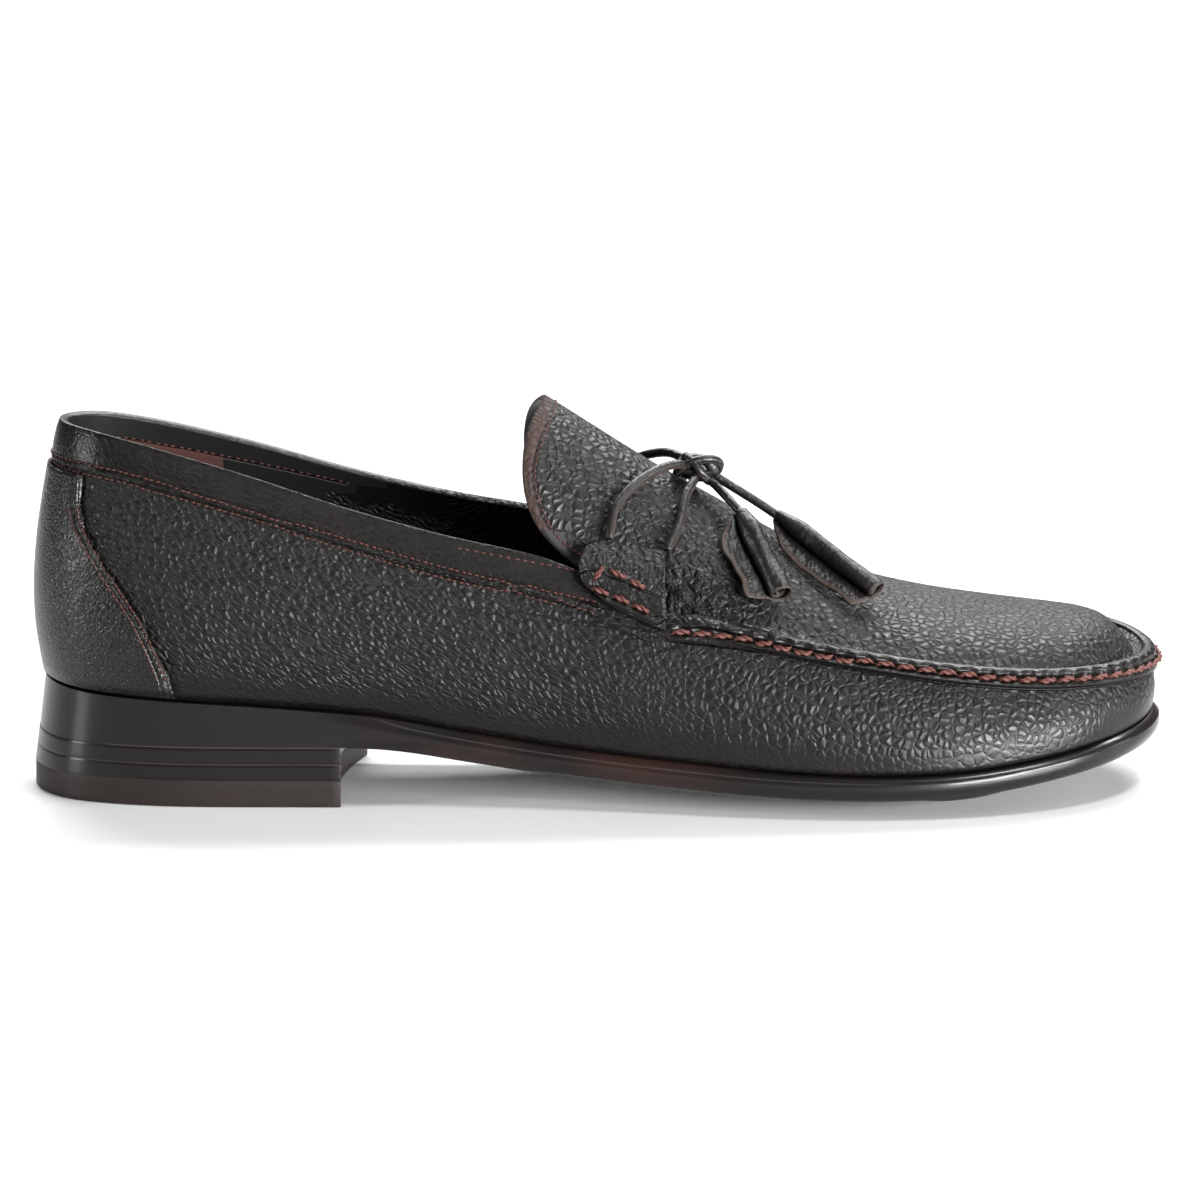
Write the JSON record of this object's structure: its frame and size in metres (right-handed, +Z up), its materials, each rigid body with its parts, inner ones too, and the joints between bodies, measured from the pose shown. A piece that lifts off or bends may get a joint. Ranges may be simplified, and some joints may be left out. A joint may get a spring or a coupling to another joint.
{
  "type": "tassel loafer",
  "caption": "Right-foot leather slip-on shoe with a raised moccasin seam round the toe, a high tongue, a tied lace with rolled tassels and a stacked block heel",
  "frame": {"origin": "on the floor under the middle of the whole shoe's bounding box", "axes": "+X points to the toe, +Y to the inner (medial) side of the foot, +Z up"},
  "size_m": [0.302, 0.1062, 0.106],
  "materials": {
    "grained_leather": "pebbled dark brown leather with a soft gloss",
    "smooth_leather": "dark brown leather stretched smooth and polished",
    "lining": "plain near-black lining leather",
    "lace": "thin matt dark brown leather with raw brown edges",
    "thread": "waxed red-brown twisted thread",
    "sole_edge": "stacked leather with inked and burnished near-black edges",
    "top_piece": "dark brown heel rubber"
  },
  "bodies": {
    "root": {"top_piece": "top_piece", "heel_lift_lower": "sole_edge", "heel_lift_upper": "sole_edge", "outsole": "sole_edge", "midsole": "sole_edge", "insole": "lining", "upper": "grained_leather", "tongue": "grained_leather", "heel_counter": "smooth_leather", "keeper_lateral": "grained_leather", "keeper_medial": "grained_leather", "lace_rear_lateral": "lace", "lace_front_lateral": "lace", "lace_rear_medial": "lace", "lace_front_medial": "lace", "lace_knot": "lace", "tassel_near": "lace", "tassel_far": "lace"}
  },
  "joints": []
}
